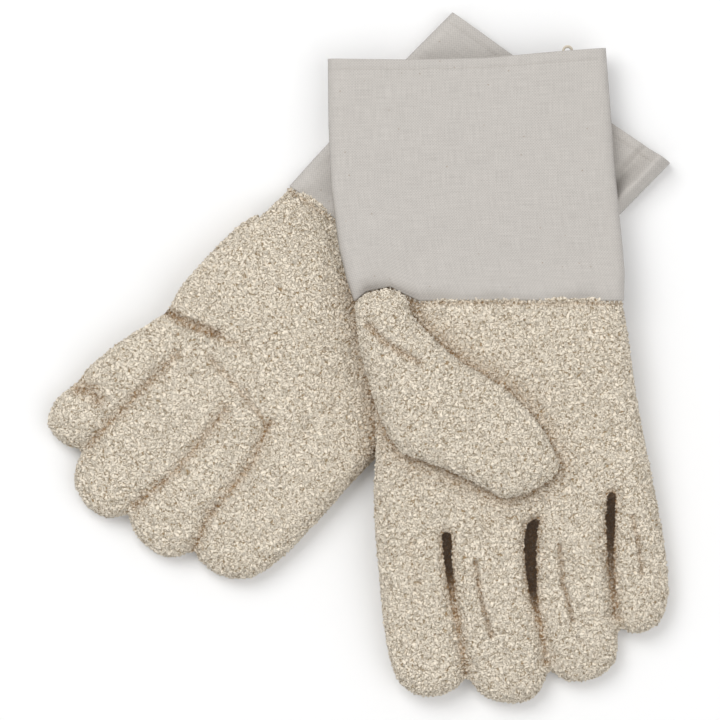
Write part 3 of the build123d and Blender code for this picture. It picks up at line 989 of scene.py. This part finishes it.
RIGHT_HAND = FormShape(
    outline=[
        (72.5, -19), (73, -6), (72.4, 10), (70, 28), (69, 47.6), (70.5, 72), (74.2, 98.5), (75.6, 120),
        (75.8, 145.3), (75.8, 168), (74.8, 188), (71.5, 202), (64, 210.5), (53.7, 213.5), (43, 211.5),
        (36.5, 206.5),
        (33.7, 200), (30.5, 209.5), (22, 218.5), (6.5, 222.2), (-2.5, 219.5), (-8.5, 212), (-11.4, 199),
        (-14.5, 207), (-21.5, 212.5), (-30.9, 214), (-41, 211.5), (-48.5, 205.5), (-51.3, 196),
        (-52.2, 179), (-54, 183.5), (-59.5, 189.6), (-66.6, 190.6), (-74.5, 187), (-80.5, 178),
        (-83.1, 162), (-82.6, 138), (-81.2, 116.4), (-79, 92), (-77, 70), (-75.5, 45), (-74.5, 22),
        (-73.5, 2), (-73.2, -5), (-40, -8), (0, -11), (38, -14), (52, -21), (66, -21),
    ],
    depth=right_depth,
    rest=right_rest,
    rounding=10.5,
    slits=[
        [(36.5, 126.8, 2.2), (37.0, 142, 1.9), (36.6, 158, 1.2), (35.4, 180, 0.8), (33.7, 203, 0.6)],
        [(-14.0, 123.5, 1.4), (-10.6, 127, 2.9), (-8.8, 137, 3.0), (-8.0, 152, 2.3), (-7.8, 167, 1.4),
         (-10, 183, 0.8), (-11.4, 202, 0.6)],
        [(-56.2, 114.4, 1.9), (-54.5, 126, 2.1), (-52.4, 146, 1.5), (-51.8, 165, 1.1), (-52.2, 181, 0.8)],
    ],
    creases=[
        Crease([(22.5, 142), (21.5, 160), (17.5, 184)], 1.3, 2.6),
        Crease([(-25, 138), (-24.5, 158), (-28, 180)], 1.3, 2.6),
        Crease([(-66.5, 126), (-68.5, 142), (-68.5, 158)], 1.3, 2.2),
        Crease([(55.5, 128), (56.5, 160)], 3.5, 0.6),
        Crease([(73, -6), (66, -10.4), (53, -11.9), (45, -6.4), (38, -2.4), (20, -0.6), (0, 1.1),
                (-30, 4.6), (-55, 7.2), (-74.2, 9.2)], 1.2, 1.6),
    ],
    # Painted shade on the palm beside the thumb's outline.
    pressed=[RIGHT_THUMB.outline],
)


def seen_from(line: Sequence[Point], own: PlanFrame, other: PlanFrame) -> list[Point]:
    """Args: line: Plan points. own: Their plan. other: Another plan. Returns: the points in that one."""
    rows = np.array([(x, y, 0.0) for x, y in line])
    return [(x, y) for x, y, _ in other.to_plan(own.to_pair(rows))]


LEFT_HAND = FormShape(
    outline=[
        (67.5, 0), (67.5, 20), (69, 45), (72.4, 75), (71.5, 95), (67.9, 108), (70, 121), (74, 141),
        (75.8, 160), (74.8, 172), (76, 184), (74.2, 194), (69, 200), (61.5, 201.8), (53, 199.5),
        (47.5, 195),
        (45.5, 190), (44.5, 199), (38, 211), (24, 216.6), (12.5, 214.5), (6, 207.5), (4.3, 197),
        (1.5, 203.5), (-4.5, 207.6), (-14, 209), (-25.5, 207), (-33, 200.5), (-36.4, 191),
        (-40.5, 193.2), (-48, 193.4), (-57.5, 191), (-66.9, 184), (-72, 173), (-74, 155), (-73.8, 125),
        (-72.7, 98.6), (-72, 60), (-72, 20), (-71.9, -10), (-71.5, -24), (-30, -18), (20, -9), (50, -4),
    ],
    depth=left_depth,
    rest=left_rest,
    rounding=10.5,
    slit_rounding=4.2,
    slits=[
        [(46.3, 122.7, 0.3), (46.7, 152, 0.4), (46.2, 175, 0.4), (45.5, 193, 0.6)],
        [(6.6, 123.5, 0.3), (3.5, 145, 0.4), (1.2, 167, 0.4), (3, 185, 0.4), (4.3, 198, 0.6)],
        [(-16.3, 112.2, 0.3), (-25.3, 136.7, 0.5), (-29.2, 174, 0.5), (-36.2, 192, 0.6)],
    ],
    creases=[
        Crease([(70, 110), (56, 106.5), (38.9, 99)], 2.8, 4.5),
        Crease([(38.9, 99), (22, 93)], 2.5, 1.2),
        Crease([(33, 110.7), (8, 111.5), (-15.6, 114.5)], 1.8, 1.8),
        Crease([(72, 174), (66, 170), (60, 171)], 4.5, 3.2),
        Crease([(60, 188), (66, 189)], 9.0, -1.6),
        Crease([(68.5, 14.1), (40, 9.6), (0, 1.6), (-40, -5.9), (-72.3, -11.9)], 1.2, 1.6),
    ],
    # Painted shade on the left glove beside the right glove's outline.
    pressed=[seen_from(RIGHT_HAND.outline, RIGHT_PLAN, LEFT_PLAN)],
)


RIGHT_GLOVE = GlovePlan(
    side=Side.RIGHT,
    plan=RIGHT_PLAN,
    hand=RIGHT_HAND,
    thumb=RIGHT_THUMB,
    knuckle=(120.0, math.tan(math.radians(7.4))),
    thumb_line=73.2,
    palm_up=True,
    cuff_edges=(
        [(73.6, -7.5), (76.5, -20), (78.8, -37.5), (79.7, -70.8), (77.5, -105), (74, -140.5)],
        [(-74.2, 7.6), (-76.3, -8), (-76.6, -22), (-77, -62), (-78, -95), (-79.1, -129.3)],
    ),
    seam=[(73.6, -7.5), (66, -12), (53, -13.5), (45, -8), (38, -4), (20, -2.2), (0, -0.5), (-30, 3),
          (-55, 5.6), (-74.2, 7.6)],
    cuff_depth=(11.5, 12.0),
    cuff_rest=right_rest,
    loop_at=(-58.0, -132.5),
    mouth_curve=((0, -1.6), (0.3, 0.5), (0.56, 0.8), (0.83, -1.6), (1, -2.7)),
)

LEFT_GLOVE = GlovePlan(
    side=Side.LEFT,
    plan=LEFT_PLAN,
    hand=LEFT_HAND,
    thumb=LEFT_THUMB,
    knuckle=(112.0, math.tan(math.radians(2.9))),
    thumb_line=70.7,
    palm_up=False,
    cuff_edges=(
        [(68.5, 12.5), (69.5, -5), (71, -40), (72.6, -80), (72.7, -117.3)],
        [(-72.3, -13.5), (-72.2, -40), (-72, -90), (-71.8, -120), (-71.5, -145.3)],
    ),
    seam=[(68.5, 12.5), (40, 8), (0, 0), (-40, -7.5), (-72.3, -13.5)],
    cuff_depth=(11.5, 12.0),
    cuff_rest=lambda x, y: np.full(len(x), 0.35),
    mouth_curve=((0, -1.8), (0.4, 0.0), (1, 0.0)),
    rolled=6.5,
)


@dataclass(frozen=True)
class CuffCloth:
    """A cuff's canvas and its sewing, in millimetres.

    Args:
        length: From the wrist seam to the mouth, with what is turned in.
        thickness: Of the cloth.
        rounding: Of the cuff's side edges.
        side: Extra width of each panel for its rounded side edges; not used.
        fold: A distance from the wrist seam along the cuff.
        hem: Where the hem is stitched, as a share of the length.
        hem_stitches: Stitches in each panel's hem.
        hem_thread: Radius of their thread.
        seam_stitches: Stitches in each panel's wrist seam.
        seam_thread: Radius of their thread.
        end: Where a row of stitches starts and stops, as a share of the width.
        across: Faces across a panel.
        along: Faces along it.
    """

    length: float = 137.0
    thickness: float = 1.2
    rounding: float = 6.5
    side: float = 8.0
    fold: float = 22.0
    hem: float = 0.96
    hem_stitches: int = 72
    hem_thread: float = 0.3
    seam_stitches: int = 56
    seam_thread: float = 0.42
    end: float = 0.02
    across: int = 140
    along: int = 130

    def row(self, count: int, t: float) -> list[Point]:
        """Args: count: Stitches. t: Their place along the cuff. Returns: (s, t) of each stitch's ends."""
        return [(self.end + (1 - 2 * self.end) * k / count, t) for k in range(count + 1)]


CUFF = CuffCloth()


class Glove:
    """One glove: its terry hand, fingers and thumb, its canvas cuff and their seams.

    Args:
        glove: Its plan.
        materials: The finishes.
        terry: The looped cloth.
        sizes: How finely the padded forms are made.
    """

    def __init__(self, glove: GlovePlan, materials: Materials, terry: Terry, sizes: FormSizes) -> None:
        """Keeps what the glove is made from."""
        self.glove = glove
        self.side = glove.side.value
        self.materials = materials
        self.terry = terry
        self.sizes = sizes
        self.pieces: dict[str, bpy.types.Object] = {}

    def build(self) -> dict[str, bpy.types.Object]:
        """Returns: the glove's pieces by name."""
        self._hand()
        self._thumb()
        self._cuff()
        self._hem_stitches()
        self._wrist_seam()
        if self.glove.loop_at is not None:
            self._hanging_loop(*self.glove.loop_at)
        return self.pieces

    def _keep(self, obj: bpy.types.Object, material: bpy.types.Material) -> bpy.types.Object:
        """Args: obj: A piece. material: Its finish. Returns: the piece."""
        obj.data.materials.clear()
        obj.data.materials.append(material)
        self.pieces[obj.name] = obj
        log.info("%s: %d faces", obj.name, len(obj.data.polygons))
        return obj

    def _pair(self, x: float, y: float, z: float) -> Vector:
        """Args: x, y, z: A plan point, in millimetres. Returns: it in the pair's frame, in metres."""
        return Vector(self.glove.plan.to_pair(np.array([[x, y, z]]))[0])

    def _hand(self) -> None:
        """The hand and fingers: one form, parted along the knuckle line and between the fingers."""
        name = f"{self.side}_whole"
        whole = PaddedForm(name, self.glove.hand, self.glove.plan, self.terry, self.sizes).build()
        centres = self.glove.plan.to_plan(face_centres(whole.data))
        x, y = centres[:, 0], centres[:, 1]
        line, slope = self.glove.knuckle
        beyond = y > line + slope * x
        slit_x = []
        for slit in self.glove.hand.slits:
            rows = np.array(slit, float)
            slit_x.append(np.interp(y, rows[:, 1], rows[:, 0]))
        number = sum((x < edge).astype(int) for edge in slit_x)
        hand = self._keep(subset(whole, f"{self.side}_hand_terry", ~beyond), self.materials.terry)
        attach(hand, f"{self.side}_hand")
        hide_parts(f"{self.side}_palm", f"{self.side}_back")
        for place, finger in enumerate(self.glove.fingers):
            obj = subset(whole, f"{self.side}_{finger.name}_terry", beyond & (number == place))
            self._keep(obj, self.materials.terry)
            nodes = [f"{self.side}_{finger.name}_{panel}" for panel in ("front", "back")]
            if finger.has_side_strip:
                nodes.append(f"{self.side}_{finger.name}_side")
            middle = float(x[beyond & (number == place)].mean())
            start_y = line + slope * middle
            lean = math.atan(slope)
            reach = 24.0
            start = self._pair(middle, start_y, 0)
            end = self._pair(middle - reach * math.sin(lean), start_y + reach * math.cos(lean), 0)
            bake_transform(obj)
            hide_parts(*nodes)
        bpy.data.objects.remove(whole)

    def _thumb(self) -> None:
        """The thumb: a padded form."""
        name = f"{self.side}_thumb_terry"
        thumb = PaddedForm(name, self.glove.thumb, self.glove.plan, self.terry, self.sizes).build()
        self._keep(thumb, self.materials.terry)
        edge, along, reach = self.glove.thumb_line, 40.0, 20.0
        start, end = self._pair(edge, along, 0), self._pair(edge - reach, along, 0)
        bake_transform(thumb)
        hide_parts(f"{self.side}_thumb_front", f"{self.side}_thumb_back")

    def _cuff_point(self, s: float, t: float) -> Point:
        """Args: s: From 0 at the thumb side. t: From 0 at the wrist, both to 1. Returns: the plan point."""
        seam = np.array(self.glove.seam)
        run = np.abs(seam[:, 0] - seam[0, 0]) / abs(seam[-1, 0] - seam[0, 0])
        wrist = np.array([np.interp(s, run, seam[:, 0]), np.interp(s, run, seam[:, 1])])
        edges = []
        for edge in self.glove.cuff_edges:
            rows = np.array(edge, float)
            reach = np.abs(rows[:, 1] - rows[0, 1]) / abs(rows[-1, 1] - rows[0, 1])
            edges.append(np.array([np.interp(t, reach, rows[:, 0]), np.interp(t, reach, rows[:, 1])]))
        straight = edges[0] + (edges[1] - edges[0]) * s
        base = np.array(self.glove.cuff_edges[0][0]) * (1 - s) + np.array(self.glove.cuff_edges[1][0]) * s
        point = straight + (wrist - base) * (1 - t) ** 3
        return float(point[0]), float(point[1] + ramp(np.array(s), self.glove.mouth_curve) * t ** 5)

    def _cuff(self) -> None:
        """The canvas cuff's two panels, each with half of both side edges."""
        for panel in Panel:
            upper = panel is Panel.UPPER
            front = upper == self.glove.palm_up
            name = f"{self.side}_cuff_{'front' if front else 'back'}"
            obj = self._cuff_panel(f"{name}_canvas", upper)
            start, end = self._pair(0, 0, 0), self._pair(0, -CUFF.fold, 0)
            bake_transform(obj)
            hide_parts(name)

    def _cuff_surface(
        self, rows: Sequence[Point], upper: bool, lift: float = 0.0
    ) -> tuple[np.ndarray, np.ndarray]:
        """Points on a cuff panel's outer face.

        Args:
            rows: (s, t) pairs: s from 0 at the thumb side to 1, t from 0 at the wrist to 1 at the mouth.
            upper: Whether the panel faces up.
            lift: How far off the face, in millimetres.

        Returns:
            (n, 3) plan millimetres and (n, 3) flat cloth millimetres.
        """
        noise = LoopNoise(11 if upper else 12)
        sign = 1.0 if upper else -1.0
        out, flat = [], []
        for s, t in rows:
            x, y = self._cuff_point(s, t)
            width = math.dist(self._cuff_point(0, t), self._cuff_point(1, t))
            low, high = self.glove.cuff_depth
            depth = low + (high - low) * t
            share = min(1.0, (1 - abs(2 * s - 1)) * width / 2 / CUFF.rounding)
            height = math.sqrt(max(0.0, 1 - (1 - share) ** 2)) * depth / 2
            out.append((x, y, sign * (height + lift) + depth / 2))
            flat.append((s * width, t * CUFF.length, 0.0))
        points, pairs, flat = np.array(out), np.array(rows), np.array(flat)
        flat_width = float(flat[:, 0].max())
        wave = noise.smooth(points / np.array([46.0, 38.0, 90.0]))
        fine = noise.smooth(points / np.array([17.0, 21.0, 60.0]))
        t = pairs[:, 1]
        across = pairs[:, 0]
        roll = np.exp(-((t - 0.06) / 0.045) ** 2) * (0.6 + 0.4 * np.cos(across * 23.0))
        tuck = np.exp(-(t / 0.018) ** 2)
        hem = 1 / (1 + np.exp(-(t - CUFF.hem + 0.002) * 400))
        groove = np.exp(-((t - CUFF.hem) / 0.006) ** 2)
        middle = np.clip((1 - np.abs(2 * across - 1)) * 8, 0, 1)
        near_seam = np.exp(-(t / 0.22) ** 2)
        inward = (1 - across) * flat_width
        curl = np.exp(-((inward - 6.5) / 4.2) ** 2) - 0.45 * np.exp(-((inward - 15.5) / 3.0) ** 2)
        points[:, 2] += self.glove.cuff_rest(points[:, 0], points[:, 1])
        if upper:
            points[:, 2] += (wave * 1.3 + fine * (0.5 + 1.2 * near_seam) + roll * 2.6 - tuck * 1.3) * middle
            points[:, 2] += hem * 0.5 - groove * 0.35
            points[:, 2] += curl * self.glove.rolled * np.clip(t * 3 - 0.6, 0, 1)
        return points, flat

    def _cuff_panel(self, name: str, upper: bool) -> bpy.types.Object:
        """Args: name: The panel. upper: Whether it faces up. Returns: the panel as a thin closed sheet."""
        mesh = bmesh.new()
        bmesh.ops.create_grid(mesh, x_segments=CUFF.across, y_segments=CUFF.along, size=0.5)
        rows = [(v.co.x + 0.5, v.co.y + 0.5) for v in mesh.verts]
        points, flat = self._cuff_surface(rows, upper)
        layer = mesh.verts.layers.float_vector.new("weave")
        for vertex, point, value in zip(mesh.verts, self.glove.plan.to_pair(points), flat):
            vertex.co = point
            vertex[layer] = value
        bmesh.ops.recalc_face_normals(mesh, faces=mesh.faces[:])
        facing = sum(f.normal.z for f in mesh.faces) > 0
        if facing != upper:
            bmesh.ops.reverse_faces(mesh, faces=mesh.faces[:])
        bmesh.ops.solidify(mesh, geom=mesh.faces[:], thickness=CUFF.thickness * MM)
        made = finished(name, mesh)
        made.shade_smooth()
        return self._keep(new_object(name, made), self.materials.canvas)

    def _hem_stitches(self) -> None:
        """A row of thread stitches along each panel's hem."""
        count, cut = CUFF.hem_stitches, 0.14
        ends = CUFF.row(count, CUFF.hem)
        stitches = []
        for upper in (True, False):
            points, _ = self._cuff_surface(ends, upper, 0.05)
            placed = self.glove.plan.to_pair(points)
            stitches += [(first * (1 - cut) + last * cut, first * cut + last * (1 - cut))
                         for first, last in zip(placed, placed[1:])]
        row = stitch_row(f"{self.side}_hem_stitches", stitches, CUFF.hem_thread * MM)
        obj = self._keep(row, self.materials.hem)
        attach(obj, f"{self.side}_cuff")
        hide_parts(f"{self.side}_cuff_hem")

    def _wrist_seam(self) -> None:
        """The seam between cuff and hand, crossed by thread."""
        rows = CUFF.row(CUFF.seam_stitches, 0.0)
        stitches = []
        for upper in (True, False):
            edge, _ = self._cuff_surface(rows, upper, -0.5)
            inner = edge.copy()
            inner[:, 1] += 1.7
            inner[:, 2] += -0.9 if upper else 0.9
            outer = edge.copy()
            outer[:, 1] -= 0.6
            first, last = self.glove.plan.to_pair(inner), self.glove.plan.to_pair(outer)
            stitches += list(zip(first, last))
        seam = stitch_row(f"{self.side}_wrist_seam_thread", stitches, CUFF.seam_thread * MM)
        obj = self._keep(seam, self.materials.thread)
        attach(obj, f"{self.side}_hand")
        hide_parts(f"{self.side}_wrist_seam")

    def _hanging_loop(self, x: float, y: float) -> None:
        """The small loop of tape that shows above the hem.

        Args:
            x: Its place across the cuff.
            y: Where it leaves the mouth.
        """
        mesh = bmesh.new()
        height = float(self.glove.cuff_rest(np.array([x]), np.array([y]))[0]) + self.glove.cuff_depth[1] / 2
        width, deep, thick, reach, tail = 2.4, 1.3, 1.5, 2.6, 7.0
        profile = [(-thick / 2, -deep), (thick / 2, -deep), (thick / 2, deep), (-thick / 2, deep)]
        ring = [mesh.verts.new((reach + u, 0.0, w)) for u, w in profile]
        face = mesh.faces.new(ring)
        bmesh.ops.spin(mesh, geom=[face, *face.edges, *face.verts], cent=(0, 0, 0), axis=(0, 0, 1),
                       angle=math.pi, steps=14)
        ends = [f for f in mesh.faces if all(abs(v.co.y) < 1e-4 for v in f.verts)]
        for end in ends:
            drawn = bmesh.ops.extrude_face_region(mesh, geom=[end])["geom"]
            corners = [v for v in drawn if isinstance(v, bmesh.types.BMVert)]
            bmesh.ops.translate(mesh, vec=(0, -tail, 0), verts=corners)
        bmesh.ops.delete(mesh, geom=[f for f in ends if f.is_valid], context="FACES_ONLY")
        bmesh.ops.bevel(mesh, geom=mesh.edges[:], offset=0.3, segments=2, profile=0.5, affect="EDGES",
                        material=-1)
        bmesh.ops.recalc_face_normals(mesh, faces=mesh.faces[:])
        points = np.array([(x + v.co.x * width / reach, y - v.co.y, height + v.co.z) for v in mesh.verts])
        for vertex, point in zip(mesh.verts, self.glove.plan.to_pair(points)):
            vertex.co = point
        name = f"{self.side}_hanging_loop_tape"
        made = finished(name, mesh)
        made.shade_smooth()
        obj = self._keep(new_object(name, made), self.materials.tape)
        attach(obj, f"{self.side}_cuff")
        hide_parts(f"{self.side}_hanging_loop")


def stitch_row(name: str, ends: Sequence[tuple[np.ndarray, np.ndarray]], radius: float) -> bpy.types.Object:
    """Short thread stitches, each a small closed lozenge.

    Args:
        name: The piece's name.
        ends: Both ends of each stitch, in metres.
        radius: Of the thread.

    Returns:
        One object that holds them all.
    """
    mesh = bmesh.new()
    for first, last in ends:
        start, end = Vector(first), Vector(last)
        run = end - start
        turn = run.to_track_quat("Z", "Y").to_matrix().to_4x4()
        turn.translation = (start + end) / 2
        made = bmesh.ops.create_uvsphere(mesh, u_segments=6, v_segments=4, radius=radius)
        stretch = max(run.length / 2 / radius, 1.0)
        bmesh.ops.scale(mesh, vec=(1, 1, stretch), verts=made["verts"])
        bmesh.ops.transform(mesh, matrix=turn, verts=made["verts"])
    out = finished(name, mesh)
    out.shade_smooth()
    return new_object(name, out)


class Studio:
    """The pale floor, the soft lights and the camera."""

    def build(self) -> None:
        """Makes the floor, the lights and the camera."""
        self._floor()
        self._lights()
        self._camera()

    def _floor(self) -> None:
        """The plain floor that the pair lies on."""
        mesh = bmesh.new()
        bmesh.ops.create_grid(mesh, x_segments=1, y_segments=1, size=6.0)
        floor = new_object("floor", finished("floor", mesh))
        floor.location.z = -0.0002
        floor.data.materials.append(plain("pale floor", (0.93, 0.93, 0.93), 0.9))

    def _lights(self) -> None:
        """The soft lights and the pale surroundings."""
        for name, place, size, power in (
            ("key", (-0.9, 1.1, 2.2), 1.6, 34.0),
            ("fill", (1.4, -0.6, 2.4), 2.4, 22.0),
        ):
            light = bpy.data.lights.new(name, "AREA")
            light.shape = "SQUARE"
            light.size = size
            light.energy = power
            obj = new_object(name, light)
            obj.location = place
            obj.rotation_euler = (-Vector(place)).to_track_quat("-Z", "Y").to_euler()
        world = bpy.data.worlds.new("soft sky")
        world.use_nodes = True
        world.node_tree.nodes["Background"].inputs["Color"].default_value = (1, 1, 1, 1)
        world.node_tree.nodes["Background"].inputs["Strength"].default_value = 0.55
        bpy.context.scene.world = world
        bpy.context.scene.view_settings.view_transform = "Standard"

    def _camera(self) -> None:
        """The camera, which looks straight down."""
        data = bpy.data.cameras.new("camera")
        away, width = 4.0, 0.396  # how far off the camera is, and the width it sees, in metres
        data.lens = data.sensor_width * away / width
        data.clip_end = 20.0
        camera = new_object("camera", data)
        camera.location = (-0.00185, -0.0028, away + 0.03)
        bpy.context.scene.camera = camera


def main() -> None:
    """Builds both gloves and the studio."""
    logging.basicConfig(level=logging.INFO, format="%(message)s")
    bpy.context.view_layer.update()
    materials = Materials()
    terry = Terry()
    sizes = FormSizes()
    for glove in (LEFT_GLOVE, RIGHT_GLOVE):
        pieces = Glove(glove, materials, terry, sizes).build()
        log.info("%s glove: %d pieces", glove.side.value, len(pieces))
    Studio().build()


if __name__ == "__main__":
    main()
